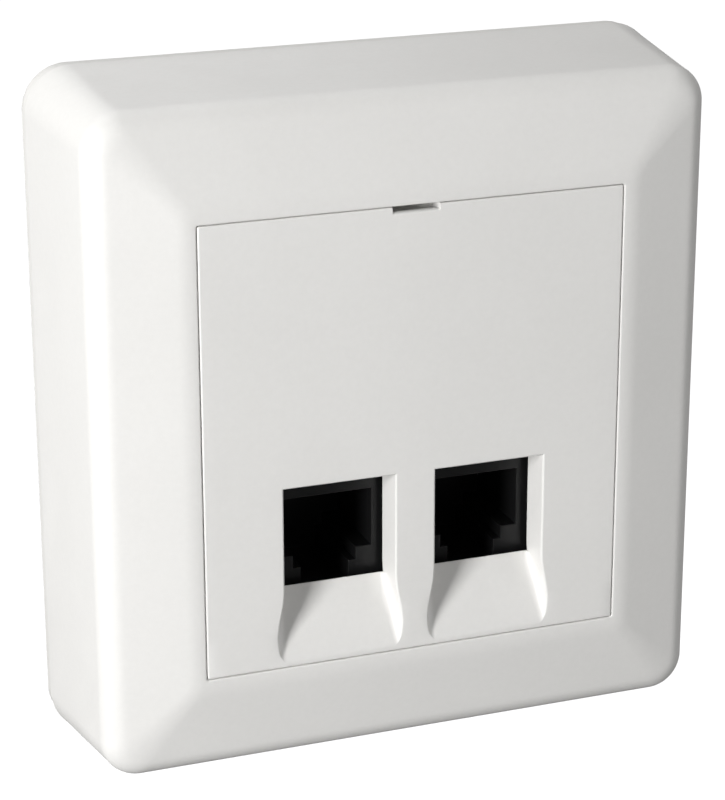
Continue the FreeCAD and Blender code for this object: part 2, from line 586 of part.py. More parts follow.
# ---------------------------------------------------------------- cable clamp and bush
clamp = new_body("cable_clamp")
prism(clamp, "clamp_bar", D("clamp_wide") - D("clamp_half_wide"), D("clamp_wide") + D("clamp_half_wide"),
      D("entry_height") - D("clamp_half_high"), D("entry_height") + D("clamp_half_high"), D("clamp_under"), D("clamp_under") + D("clamp_thick"))
sk = new_sketch(clamp, "clamp_crown_outline", D("clamp_wide") - D("clamp_half_wide"), "YZ_Plane")
rise = D("clamp_under") + D("clamp_thick")
poly(sk, [(-(rise - 0.3), D("entry_height") - 2.8), (-(rise - 0.3), D("entry_height") + 2.8),
          (-(rise + 1.4), D("entry_height") + 1.9), (-(rise + 1.4), D("entry_height") - 1.9)])
pad(clamp, "clamp_crown", sk, D("clamp_half_wide") * 2)
sk = new_sketch(clamp, "clamp_arch_outline", D("clamp_wide") + D("clamp_half_wide"), "YZ_Plane")
circle(sk, -(D("clamp_under") - 0.4), D("entry_height"), D("clamp_arch"))
pocket(clamp, "clamp_arch", sk, D("clamp_half_wide") * 2)
sk = new_sketch(clamp, "clamp_hole_outline", rise)
for sign in (-1, 1):
    circle(sk, D("clamp_wide"), D("entry_height") + D("clamp_screw_off") * sign, D("ear_hole") - 0.2)
pocket(clamp, "clamp_holes", sk, D("clamp_thick"))
NODES.append(clamp)
NODES.append(group("clamp_screws", [screw("clamp_screw_%d" % i, D("clamp_wide"), D("entry_height") + D("clamp_screw_off") * s, rise, 0.9)
                                    for i, s in enumerate((-1, 1))]))

# rubber bush: a ring with a groove that takes the edge of the entry hole
bush = new_body("cable_grommet")
sk = new_sketch(bush, "bush_profile", 0.0, "YZ_Plane")
axis_z = D("entry_height")
poly(sk, [(-0.15, axis_z + D("bush_bore")), (-0.15, axis_z + D("entry_radius") - 0.05),
          (-(D("base_thick") + 0.05), axis_z + D("entry_radius") - 0.05), (-(D("base_thick") + 0.05), axis_z + D("bush_flange")),
          (-(D("base_thick") + D("bush_rim")), axis_z + D("bush_flange")), (-(D("base_thick") + D("bush_rim") + 0.9), axis_z + D("bush_bore") + 1.2),
          (-(D("base_thick") + D("bush_rim") + 0.9), axis_z + D("bush_bore"))])
spin_line = sk.addGeometry(Part.LineSegment(Vector(-5, VAL["entry_height"], 0), Vector(0, VAL["entry_height"], 0)), True)
sk.addConstraint(Sketcher.Constraint("Horizontal", spin_line))
at(sk, spin_line, 1, -5.0, axis_z)
ring = feature(bush, "Revolution", "bush_ring")
ring.Profile = sk
ring.ReferenceAxis = (sk, ["Axis0"])
ring.Angle = 360
doc.recompute()
NODES.append(bush)

# ---------------------------------------------------------------- checks and files
doc.recompute()
for obj in doc.Objects:
    for state in obj.State:
        if "Invalid" in state or "Error" in state:
            raise RuntimeError("%s is %s" % (obj.Name, state))
labels = set()
os.makedirs("parts", exist_ok=True)
for old in os.listdir("parts"):
    if old.endswith(".step"):
        os.remove(os.path.join("parts", old))
for node in NODES:
    shape = node.Shape
    if shape.isNull() or not shape.isValid() or not shape.Solids:
        raise RuntimeError("bad shape: " + node.Label)
    if node.Label in labels:
        raise RuntimeError("label used twice: " + node.Label)
    labels.add(node.Label)
    shape.exportStep("parts/%s.step" % node.Label)
    bb = shape.BoundBox
    print("%-22s solids %2d volume %9.1f  x %7.2f %7.2f  y %7.2f %7.2f  z %7.2f %7.2f" % (
        node.Label, len(shape.Solids), shape.Volume, bb.XMin, bb.XMax, bb.YMin, bb.YMax, bb.ZMin, bb.ZMax))
print(len(NODES), "nodes")
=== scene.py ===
import bpy
import bmesh
import json
import math
from mathutils import Matrix, Vector


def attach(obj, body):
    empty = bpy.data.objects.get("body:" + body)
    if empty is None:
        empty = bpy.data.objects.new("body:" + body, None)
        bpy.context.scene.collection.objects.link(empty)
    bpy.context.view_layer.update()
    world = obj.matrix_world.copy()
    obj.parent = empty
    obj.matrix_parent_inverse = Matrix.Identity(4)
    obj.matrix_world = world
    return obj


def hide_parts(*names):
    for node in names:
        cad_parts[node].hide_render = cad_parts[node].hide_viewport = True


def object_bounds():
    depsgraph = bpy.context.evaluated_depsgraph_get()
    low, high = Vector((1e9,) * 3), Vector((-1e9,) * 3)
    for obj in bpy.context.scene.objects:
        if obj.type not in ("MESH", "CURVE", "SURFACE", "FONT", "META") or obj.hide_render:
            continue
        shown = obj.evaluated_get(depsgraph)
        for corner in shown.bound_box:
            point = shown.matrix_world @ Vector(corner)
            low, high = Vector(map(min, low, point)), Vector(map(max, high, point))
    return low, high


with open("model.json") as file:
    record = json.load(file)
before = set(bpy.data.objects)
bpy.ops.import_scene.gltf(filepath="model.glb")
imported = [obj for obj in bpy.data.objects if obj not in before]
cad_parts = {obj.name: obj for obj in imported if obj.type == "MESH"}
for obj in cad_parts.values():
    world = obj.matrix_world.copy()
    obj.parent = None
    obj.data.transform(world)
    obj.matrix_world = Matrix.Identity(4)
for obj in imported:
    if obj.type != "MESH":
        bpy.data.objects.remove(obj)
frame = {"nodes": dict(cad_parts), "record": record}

CAD_LO, CAD_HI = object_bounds()
MM = 0.001

# ------------------------------------------------------------------ mesh helpers


def mark_sharp(me, degrees):
    """Marks every edge whose two faces turn by more than the angle."""
    bm = bmesh.new()
    bm.from_mesh(me)
    bm.normal_update()
    limit = math.radians(degrees)
    for e in bm.edges:
        e.smooth = not (len(e.link_faces) == 2 and e.link_faces[0].normal.angle(e.link_faces[1].normal, 0.0) > limit)
    bm.to_mesh(me)
    bm.free()


class Build:
    """Collects points in millimetres as (x, depth, z), where depth runs out from the wall, and faces between them."""

    def __init__(self):
        self.verts = []
        self.faces = []
        self.index = {}

    def v(self, p):
        key = (round(p[0] * 2000), round(p[1] * 2000), round(p[2] * 2000))
        if key not in self.index:
            self.index[key] = len(self.verts)
            self.verts.append((p[0] * MM, -p[1] * MM, p[2] * MM))
        return self.index[key]

    def face(self, *pts):
        ids = []
        for p in pts:
            i = self.v(p)
            if i not in ids:
                ids.append(i)
        if len(ids) > 2:
            self.faces.append(ids)

    def strip(self, a, b):
        for i in range(len(a) - 1):
            self.face(a[i], a[i + 1], b[i + 1], b[i])

    def grid(self, rows):
        for a, b in zip(rows, rows[1:]):
            self.strip(a, b)

    def ring(self, a, b):
        n = len(a)
        for i in range(n):
            self.face(a[i], a[(i + 1) % n], b[(i + 1) % n], b[i])

    def make(self, name, angle=40.0, weighted=True):
        me = bpy.data.meshes.new(name)
        me.from_pydata(self.verts, [], self.faces)
        bm = bmesh.new()
        bm.from_mesh(me)
        bmesh.ops.recalc_face_normals(bm, faces=bm.faces[:])
        bm.to_mesh(me)
        bm.free()
        me.polygons.foreach_set("use_smooth", [True] * len(me.polygons))
        mark_sharp(me, angle)
        ob = bpy.data.objects.new(name, me)
        bpy.context.scene.collection.objects.link(ob)
        if weighted:
            m = ob.modifiers.new("even_normals", "WEIGHTED_NORMAL")
            m.keep_sharp = True
            m.weight = 80
        return ob


def lerp(a, b, t):
    return a + (b - a) * t


def smooth(t):
    t = max(0.0, min(1.0, t))
    return t * t * (3 - 2 * t)


def join(objects, name):
    """One object out of several, with their modifiers applied."""
    dg = bpy.context.evaluated_depsgraph_get()
    bm = bmesh.new()
    for o in objects:
        me = bpy.data.meshes.new_from_object(o.evaluated_get(dg))
        me.transform(o.matrix_world)
        bm.from_mesh(me)
        bpy.data.meshes.remove(me)
    me = bpy.data.meshes.new(name)
    bm.to_mesh(me)
    bm.free()
    for o in objects:
        bpy.data.objects.remove(o)
    me.polygons.foreach_set("use_smooth", [True] * len(me.polygons))
    mark_sharp(me, 40)
    ob = bpy.data.objects.new(name, me)
    bpy.context.scene.collection.objects.link(ob)
    return ob


# ------------------------------------------------------------------ hood
HW, HH = 40.0, 42.24      # half sizes that the tapering walls start from
TAPER = 0.102
FRONT = 24.0
CORNER_SEG = 18


def ring_points(hx, hz, depth, radius, sides=10):
    radius = max(radius, 0.05)
    pts = []
    centres = [(hx - radius, hz - radius, 0), (-hx + radius, hz - radius, 90), (-hx + radius, -hz + radius, 180), (hx - radius, -hz + radius, 270)]
    for k, (cx, cz, a0) in enumerate(centres):
        for i in range(CORNER_SEG + 1):
            a = math.radians(a0 + 90.0 * i / CORNER_SEG)
            pts.append((cx + radius * math.cos(a), depth, cz + radius * math.sin(a)))
        nx = centres[(k + 1) % 4]
        a = math.radians(nx[2])
        end = (nx[0] + radius * math.cos(a), depth, nx[1] + radius * math.sin(a))
        start = pts[-1]
        for i in range(1, sides):
            t = i / sides
            pts.append(tuple(lerp(start[j], end[j], t) for j in range(3)))
    return pts


def hood_stations():
    st = []           # (half x, half z, depth, corner radius)

    def outer(inset, depth, radius):
        st.append((HW - inset, HH - inset, depth, radius))

    slope = 0.243
    band_x, band_z = 27.5, 28.95
    # rear edge, with a small radius
    r = 0.38
    for a in (90, 60, 30, 0):
        c, s = math.cos(math.radians(a)), math.sin(math.radians(a))
        outer(TAPER * 2.0 + r - r * c, 2.0 + r - r * s, 5.7 - (r - r * c))
    # side wall up to the rounded front edge
    depth_edge = (FRONT - (HW - band_x) * slope) / (1 - TAPER * slope)
    alpha, beta = math.atan(TAPER), math.atan(slope)
    turn = math.pi / 2 - alpha - beta
    radius = 3.5
    tangent = radius * math.tan(turn / 2)
    d0 = depth_edge - tangent * math.cos(alpha)
    i0 = TAPER * depth_edge - tangent * math.sin(alpha)
    for t in (0.15, 0.3, 0.45, 0.6, 0.75, 0.9):
        d = lerp(2.0, d0, t)
        outer(TAPER * d, d, lerp(5.7, 4.8, t))
    ci, cd = i0 + radius * math.cos(alpha), d0 - radius * math.sin(alpha)
    last = None
    for k in range(13):
        ang = alpha + turn * k / 12
        i, d = ci - radius * math.cos(ang), cd + radius * math.sin(ang)
        rr = lerp(4.8, 2.9, k / 12)
        outer(i, d, rr)
        last = (i, d, rr)
    # sloping face, then a soft break into the narrow flat band
    ix, ihx = last[0], HW - band_x
    soft = 0.9
    for t in (0.06, 0.14, 0.25, 0.37, 0.5, 0.63, 0.75, 0.86):
        i = lerp(ix, ihx - soft, t)
        d = FRONT - (ihx - i) * slope
        # the corner closes towards the band, which makes the mitre
        f = t * (ihx - soft - ix) / (ihx - ix)
        st.append((HW - i, lerp(HH - ix, band_z, (i - ix) / (ihx - ix)), d, lerp(last[2], 0.9, f)))
    for t in (-1.0, -0.66, -0.33, 0.0, 0.33, 0.66, 1.0):
        i = ihx + soft * t
        # parabola tangent to the slope at -soft and to the flat at +soft
        d = FRONT - slope * soft * (1 - t) ** 2 / 4
        st.append((HW - i, band_z + (ihx - i) * (HH - ix - band_z) / (ihx - ix), d, lerp(1.5, 0.55, (t + 1) / 2)))
    # edge of the opening, its wall, the seat of the plate and the ledge
    for hx, hz, r_in, d_out, d_in, rc in ((26.1, 27.5, 0.2, FRONT, 22.0, 0.3), (24.4, 25.8, 0.16, 22.0, 19.9, 0.5)):
        for a in (0, 30, 60, 90):
            s, c = math.sin(math.radians(a)), math.cos(math.radians(a))
            st.append((hx + r_in * (1 - s), hz + r_in * (1 - s), d_out - r_in * (1 - c), rc + r_in * (1 - s)))
        st.append((hx, hz, d_in + (0.0 if d_in > 20 else 0.2), rc))
    # ceiling of the hollow, a soft inner corner and the inside wall down to the rear
    st.append((24.6, 26.0, 19.9, 0.7))
    st.append((29.0, 31.0, 19.9, 1.6))
    wall = 2.0
    top = 19.9
    inner_r = 1.5
    ins = TAPER * top + wall
    for a in (0, 22.5, 45, 67.5, 90):
        s, c = math.sin(math.radians(a)), math.cos(math.radians(a))
        i = ins + inner_r * (1 - s)
        d = top - inner_r * (1 - c)
        st.append((HW - i, HH - i, d, 3.0 - (0.8 * (1 - s))))
    for t in (0.25, 0.5, 0.75):
        d = lerp(top - inner_r, 2.2, t)
        st.append((HW - TAPER * d - wall, HH - TAPER * d - wall, d, lerp(3.0, 4.4, t)))
    st.append((HW - TAPER * 2.2 - wall, HH - TAPER * 2.2 - wall, 2.2, 4.4))
    st.append((HW - TAPER * 2.0 - wall + 0.15, HH - TAPER * 2.0 - wall + 0.15, 2.0, 4.5))
    return st


b = Build()
stations = hood_stations()
rings = [ring_points(*s) for s in stations]
for a, c in zip(rings, rings[1:] + rings[:1]):
    b.ring(a, c)
# pocket in the plate's seat behind the pry notch, where the blade's tip goes
seat = [f for f in b.faces if len(f) == 4 and all(abs(b.verts[i][1] + 0.022) < 1e-6 and b.verts[i][2] > 0.025 and abs(b.verts[i][0]) < 0.0072 for i in f)]
b.faces = [f for f in b.faces if f not in seat]
around = sorted({(round(b.verts[i][0] * 1000, 6), 22.0, round(b.verts[i][2] * 1000, 6)) for f in seat for i in f})
upper = [p for p in around if p[2] > 27.0]
lower = [p for p in around if p[2] < 27.0]
hole = [(-3.3, 22.0, 27.3), (3.3, 22.0, 27.3), (3.3, 22.0, 26.03), (-3.3, 22.0, 26.03)]
deep = [(x, 20.35, z) for x, d, z in hole]
b.face(*(upper + [hole[1], hole[0]]))
b.face(upper[-1], lower[-1], hole[2], hole[1])
b.face(*(lower[::-1] + [hole[3], hole[2]]))
b.face(lower[0], upper[0], hole[0], hole[3])
for i in range(4):
    j = (i + 1) % 4
    b.face(hole[i], hole[j], deep[j], deep[i])
b.face(*deep)
hood = b.make("hood_shell", 38)

# ------------------------------------------------------------------ centre plate
PX, PZ, PF, PR = 26.02, 27.42, 24.0, 22.1     # half sizes, front and rear depths
THICK = PF - PR
EDGE = 0.24                                   # radius round the plate
RIM = 0.25                                    # radius round the windows
CX = 9.45
W0 = 6.93
TOP, LIP, END = -4.93, -18.85, -26.87
DEEP, LIP_DEEP = 4.4, 4.28
COLLAR = 8.4
NOTCH, NOTCH_H, NOTCH_D = 2.93, 0.68, 1.7


def between(keys, z):
    """Smooth value from a falling list of (z, value)."""
    if z >= keys[0][0]:
        return keys[0][1]
    for (za, wa), (zb, wb) in zip(keys, keys[1:]):
        if z >= zb:
            return lerp(wa, wb, (za - z) / (za - zb))
    return keys[-1][1]


def half_width(z):
    """Half width of the window: straight, opening a little towards the lip."""
    return between([(-17.2, W0), (-18.2, 6.96), (LIP, 7.02)], z)


def floor_depth(z):
    t = (z - END) / (LIP - END)
    t = max(0.0, min(1.0, t))
    # nearly straight, easing out into the front face
    ease = 0.03
    if t < ease * 2:
        return LIP_DEEP * (t * t / (4 * ease)) / (1 - ease)
    return LIP_DEEP * (t - ease) / (1 - ease)


def cove(z):
    """Radius of the hollow rounding between the scoop's floor and its walls."""
    return between([(LIP, 0.6), (-19.6, 0.85), (-20.6, 1.15), (-22.0, 1.4), (-23.5, 1.45), (-25.0, 1.25), (-26.2, 1.05), (END, 1.0)], z)


def outline_half(z):
    """Half width of the scoop where it meets the front face."""
    wf = between([(LIP, 6.22), (-19.6, 6.08), (-20.6, 5.93), (-22.0, 5.91), (-23.5, 6.08), (-24.6, 6.33), (-25.6, 6.6), (-26.4, 6.78), (END, 6.86)], z)
    total = between([(LIP, 0.8), (-19.6, 1.05), (-20.6, 1.4), (-22.0, 1.7), (-23.5, 1.7), (-25.0, 1.4), (-26.2, 1.1), (END, 1.0)], z) + RIM
    h = floor_depth(z)
    return wf + total * math.sin(math.pi / 2 if h >= total else math.acos(max(0.0, 1 - h / total)))


def floor_half(z):
    """Half width of the flat floor, where the rounding starts."""
    if z >= LIP:
        return half_width(z) - cove(LIP)
    h, total = floor_depth(z), cove(z) + RIM
    return outline_half(z) - total * math.sin(math.pi / 2 if h >= total else math.acos(max(0.0, 1 - h / total)))


RIM_STEPS = 4
WALL_STEPS = 4
FILLET_STEPS = 8
FLOOR_STEPS = 8


def ramp_section(z):
    """Left half of the scoop's cross-section as (half width, depth below the front), from the front face to the middle."""
    h, wf, big = floor_depth(z), floor_half(z), cove(z)
    rim = RIM
    total = big + rim
    turn = math.pi / 2 if h >= total else math.acos(max(0.0, 1 - h / total))
    wall = max(0.0, h - total)
    s, c = math.sin(turn), 1 - math.cos(turn)
    out = []
    for k in range(RIM_STEPS + 1):
        a = turn * k / RIM_STEPS
        out.append((wf + total * s - rim * math.sin(a), rim * (1 - math.cos(a))))
    x, d = out[-1]
    for k in range(1, WALL_STEPS + 1):
        out.append((x, d + wall * k / WALL_STEPS))
    for k in range(1, FILLET_STEPS + 1):
        a = turn * (1 - k / FILLET_STEPS)
        out.append((wf + big * math.sin(a), h - big * (1 - math.cos(a))))
    for k in range(1, FLOOR_STEPS // 2 + 1):
        out.append((lerp(wf, 0.0, k / (FLOOR_STEPS // 2)), h))
    return out


def window_section(z):
    out = []
    for k in range(RIM_STEPS + 1):
        a = math.pi / 2 * k / RIM_STEPS
        w = half_width(z)
        out.append((w + RIM * (1 - math.sin(a)), RIM * (1 - math.cos(a))))
    w = half_width(z)
    low = LIP_DEEP - cove(LIP)
    for k in range(1, WALL_STEPS + 1):
        out.append((w, lerp(RIM, low, k / WALL_STEPS)))
    out.append((w, DEEP))
    return out


def mirrored(section):
    """Full cross-section from left to right out of its left half, whose last point is the middle."""
    left = [(-u, d) for u, d in section]
    right = [(u, d) for u, d in reversed(section[:-1])]
    return left + right


b = Build()
ramp_rows = [LIP - (LIP - END) * (1 - (1 - k / 30.0) ** 1.6) for k in range(31)]
window_rows = [TOP, -7.0, -9.0, -11.0, -13.0, -15.0, -16.4, -17.2, -17.7, -18.2, LIP]


def front(x, z, depth=0.0):
    return (x, PF - depth, z)


X0, X1 = -PX + EDGE, PX - EDGE
Z0, Z1 = -PZ + EDGE, PZ - EDGE
SIDE_N, MID_N = 6, 3


def row_blocks(z, section_edge):
    """Plain front-face columns beside and between the windows on one row: left, middle, right."""
    e = section_edge
    left = [lerp(X0, -CX - e, i / SIDE_N) for i in range(SIDE_N + 1)]
    mid = [lerp(-CX + e, CX - e, i / MID_N) for i in range(MID_N + 1)]
    right = [lerp(CX + e, X1, i / SIDE_N) for i in range(SIDE_N + 1)]
    return left, mid, right


# rows beside the windows and the scoops
beside = []
rim_top = TOP + RIM
beside.append((rim_top, window_section(TOP)[0][0]))
for z in window_rows:
    beside.append((z, window_section(z)[0][0]))
for z in ramp_rows[1:]:
    beside.append((z, ramp_section(z)[0][0]))
for part in range(3):
    rows = []
    for z, e in beside:
        rows.append([front(x, z) for x in row_blocks(z, e)[part]])
    b.grid(rows)

# above the windows, with the pry notch in the top edge
e_top = window_section(TOP)[0][0]
inner_u = CX - NOTCH                           # 6.52, where the notch ends fall over the windows
cols_l = [-e_top, -W0, -5.0, -2.5, 0.0, 2.5, 5.0, inner_u, W0, e_top]
cols_r = [-u for u in reversed(cols_l)]
left, mid, right = row_blocks(rim_top, e_top)
top_x = left[:-1] + [-CX + u for u in cols_l] + mid[1:-1] + [CX + u for u in cols_r] + right[1:]
notch_z = PZ - NOTCH_H
levels = [rim_top, -1.0, 4.0, 9.0, 14.0, 19.0, 24.0, notch_z - EDGE]
b.grid([[front(x, z) for x in top_x] for z in levels])
outside_l = [x for x in top_x if x <= -NOTCH + 1e-6]
outside_r = [x for x in top_x if x >= NOTCH - 1e-6]
inside = [x for x in top_x if -NOTCH - 1e-6 <= x <= NOTCH + 1e-6]


def top_edge(x):
    out = [front(x, notch_z - EDGE), front(x, Z1)]
    for k in (1, 2, 3):
        a = math.pi / 2 * k / 3
        out.append(front(x, Z1 + EDGE * math.sin(a), EDGE * (1 - math.cos(a))))
    return out + [front(x, PZ, NOTCH_D), front(x, PZ, THICK)]


def notch_edge(x):
    out = [front(x, notch_z - EDGE)]
    for k in (1, 2, 3, 4):
        a = math.pi / 2 * k / 4
        out.append(front(x, notch_z - EDGE + 0.3 * math.sin(a), 0.55 * (1 - math.cos(a))))
    # a lit ledge, then the cut through the plate that a blade goes in
    return out + [front(x, notch_z + 0.07, 0.66), front(x, notch_z + 0.04, 0.72), front(x, notch_z - 0.35, 0.85), front(x, notch_z - 0.6, THICK)]


for xs in (outside_l, outside_r):
    cols = [top_edge(x) for x in xs]
    for a, c in zip(cols, cols[1:]):
        b.strip(a, c)
cols = [notch_edge(x) for x in inside]
for a, c in zip(cols, cols[1:]):
    b.strip(a, c)
for x in (-NOTCH, NOTCH):
    t, n = top_edge(x), notch_edge(x)
    b.face(*(t + n[:0:-1]))

# top walls of the windows
for sx in (-1, 1):
    cx = CX * sx
    cols = cols_l if sx < 0 else cols_r
    sec = window_section(TOP)
    rows = []
    for k, (w, d) in enumerate(sec):
        zz = TOP + (w - W0)
        pts = []
        for u in cols:
            # mitre with the side walls
            uu = max(-w, min(w, u))
            pts.append(front(cx + uu, zz, d))
        rows.append(pts)
    b.grid(rows)
    # side walls of the windows, then the scoop
    for s in (-1, 1):
        rows = []
        first = []
        for w, d in sec:
            first.append(front(cx + s * w, TOP + (w - W0), d))
        rows.append(first)
        for z in window_rows:
            rows.append([front(cx + s * w, z, d) for w, d in window_section(z)])
        b.grid(rows)
    rows = [[front(cx + u, z, d) for u, d in mirrored(ramp_section(z))] for z in ramp_rows]
    b.grid(rows)
    # end face of the lip, between the scoop's top edge and the depth of the collar
    sect = mirrored(ramp_section(LIP))
    k0 = RIM_STEPS + WALL_STEPS
    upper = [front(cx + u, LIP, d) for u, d in sect[k0:len(sect) - k0]]
    lower = [(p[0], PF - DEEP, LIP) for p in upper]
    b.strip(upper, lower)
    # underside of the scoop and the outer faces of the collar
    under_rows = []
    for z in ramp_rows:
        sec2 = mirrored(ramp_section(z))
        h = floor_depth(z)
        dd = max(THICK, min(DEEP, h + 1.0))
        xs = [cx + u for u, d in sec2[k0:len(sec2) - k0]]
        xs = [cx - COLLAR] + xs + [cx + COLLAR]
        under_rows.append([(x, PF - dd, z) for x in xs])
    b.grid(under_rows)
    top_out = TOP + (COLLAR - W0)
    for s in (-1, 1):
        rows = [[(cx + s * COLLAR, PF - lerp(THICK, DEEP, k / 3), top_out) for k in range(4)]]
        for z in window_rows:
            rows.append([(cx + s * COLLAR, PF - lerp(THICK, DEEP, k / 3), z) for k in range(4)])
        for z in ramp_rows[1:]:
            dd = max(THICK, min(DEEP, floor_depth(z) + 1.0))
            rows.append([(cx + s * COLLAR, PF - lerp(THICK, dd, k / 3), z) for k in range(4)])
        b.grid(rows)
        # rear rim of the collar beside the window
        rows = [[(cx + s * W0, PF - DEEP, TOP), (cx + s * COLLAR, PF - DEEP, top_out)]]
        for z in window_rows:
            rows.append([(cx + s * half_width(z), PF - DEEP, z), (cx + s * COLLAR, PF - DEEP, z)])
        b.grid(rows)
    # rear rim and outer face above the window
    ua = [max(-W0, min(W0, u)) for u in cols]
    inner = []
    for u in ua:
        if not inner or abs(inner[-1] - u) > 1e-6:
            inner.append(u)
    outer_x = [u * COLLAR / W0 for u in inner]
    b.strip([(cx + u, PF - DEEP, TOP) for u in inner], [(cx + u, PF - DEEP, top_out) for u in outer_x])
    b.grid([[(cx + u, PF - lerp(THICK, DEEP, k / 3), top_out) for u in outer_x] for k in range(4)])

# below the scoops down to the bottom edge
left, mid, right = row_blocks(END, ramp_section(END)[0][0])
sect = mirrored(ramp_section(END))
bottom_x = left[:-1] + [-CX + u for u, d in sect] + mid[1:-1] + [CX + u for u, d in sect] + right[1:]
clean = [bottom_x[0]]
for x in bottom_x[1:]:
    if x - clean[-1] > 1e-4:
        clean.append(x)
bottom_x = clean
cols = []
for x in bottom_x:
    col = [front(x, END), front(x, Z0)]
    for k in (1, 2, 3):
        a = math.pi / 2 * k / 3
        col.append(front(x, Z0 - EDGE * math.sin(a), EDGE * (1 - math.cos(a))))
    col.append(front(x, -PZ, THICK))
    cols.append(col)
for a, c in zip(cols, cols[1:]):
    b.strip(a, c)

# left and right edges, following every row's own height
side_z = [Z1, notch_z - EDGE] + [z for z in reversed(levels[:-1])] + [z for z, e in beside[1:]] + [Z0]
seen = []
for z in side_z:
    if not seen or abs(seen[-1] - z) > 1e-6:
        seen.append(z)
side_z = seen
for s in (-1, 1):
    def side_col(z, zz=None):
        out = [front(s * (PX - EDGE), z)]
        for k in (1, 2, 3):
            a = math.pi / 2 * k / 3
            out.append(front(s * (PX - EDGE + EDGE * math.sin(a)), z, EDGE * (1 - math.cos(a))))
        return out + [front(s * PX, z, NOTCH_D), front(s * PX, z, THICK)]
    cols = [side_col(z) for z in side_z]
    for a, c in zip(cols, cols[1:]):
        b.strip(a, c)
    # corner patches where the rounded edges meet
    for zc, sg in ((Z1, 1), (Z0, -1)):
        xe = s * (PX - EDGE)
        prev_a = None
        for i in range(4):
            t = math.pi / 2 * i / 3
            # arc i of the corner in plan, each with the same edge profile
            col = [front(xe, zc)]
            for k in (1, 2, 3):
                a = math.pi / 2 * k / 3
                rr = EDGE * math.sin(a)
                col.append(front(xe + s * rr * math.cos(t), zc + sg * rr * math.sin(t), EDGE * (1 - math.cos(a))))
            px, pz = xe + s * EDGE * math.cos(t), zc + sg * EDGE * math.sin(t)
            if sg > 0 or i < 3:
                col.append(front(px, pz, NOTCH_D))
            col.append(front(px, pz, THICK))
            if prev_a is not None:
                if len(prev_a) == len(col):
                    b.strip(prev_a, col)
                else:
                    b.strip(prev_a[:4], col[:4])
                    b.face(prev_a[3], prev_a[4], prev_a[5], col[4], col[3])
            prev_a = col

# rear face: the same outline, with the collars' footprints left out
rear_z = [Z1] + [z for z in side_z if z < Z1 - 1e-6]


def rear(x, z):
    return (x, PR, z)


rear_rows_top = [PZ] + [z for z in side_z if z > rim_top + 1e-6]
# fill by one face with holes cut out of it, worked with bmesh below
ob = b.make("plate_front", 38, weighted=False)
bm = bmesh.new()
bm.from_mesh(ob.data)
bmesh.ops.remove_doubles(bm, verts=bm.verts[:], dist=2e-7)
open_edges = [e for e in bm.edges if e.is_boundary]
bmesh.ops.triangle_fill(bm, use_beauty=True, use_dissolve=False, edges=open_edges, normal=Vector((0, 1, 0)))
bmesh.ops.recalc_face_normals(bm, faces=bm.faces[:])
left_open = [e for e in bm.edges if not e.is_manifold]
print("centre plate: edges not closed", len(left_open), [tuple(round(c * 1000, 2) for c in e.verts[0].co) for e in left_open[:6]])
bm.to_mesh(ob.data)
bm.free()
ob.data.polygons.foreach_set("use_smooth", [True] * len(ob.data.polygons))
mark_sharp(ob.data, 38)
wn = ob.modifiers.new("even_normals", "WEIGHTED_NORMAL")
wn.keep_sharp = True
wn.weight = 80
plate_front = ob


def rounded_block(x0, x1, d0, d1, z0, z1, r=0.15, seg=2, name="block"):
    """Box with rounded edges, sizes in millimetres."""
    bm = bmesh.new()
    bmesh.ops.create_cube(bm, size=1.0)
    for v in bm.verts:
        v.co = Vector((lerp(x0, x1, v.co.x + 0.5) * MM, -lerp(d0, d1, v.co.y + 0.5) * MM, lerp(z0, z1, v.co.z + 0.5) * MM))
    bmesh.ops.bevel(bm, geom=bm.edges[:], offset=r * MM, segments=seg, profile=0.5, affect="EDGES")
    bmesh.ops.recalc_face_normals(bm, faces=bm.faces[:])
    me = bpy.data.meshes.new(name)
    bm.to_mesh(me)
    bm.free()
    me.polygons.foreach_set("use_smooth", [True] * len(me.polygons))
    mark_sharp(me, 40)
    ob = bpy.data.objects.new(name, me)
    bpy.context.scene.collection.objects.link(ob)
    return ob


arms = []
for s in (-1, 1):
    xa, xb = sorted((22.2 * s, 23.6 * s))
    arms.append(rounded_block(xa, xb, 12.0, PR + 0.25, -4.0, 4.0, 0.3, 3, "arm"))
    for zz in (-2.6, 2.6):
        xr = sorted((20.4 * s, 22.5 * s))
        arms.append(rounded_block(xr[0], xr[1], 17.0, PR + 0.25, zz - 0.45, zz + 0.45, 0.15, 2, "arm_rib"))
plate = join([plate_front] + arms, "centre_plate_shell")
wn = plate.modifiers.new("even_normals", "WEIGHTED_NORMAL")
wn.keep_sharp = True

# ------------------------------------------------------------------ contact wires


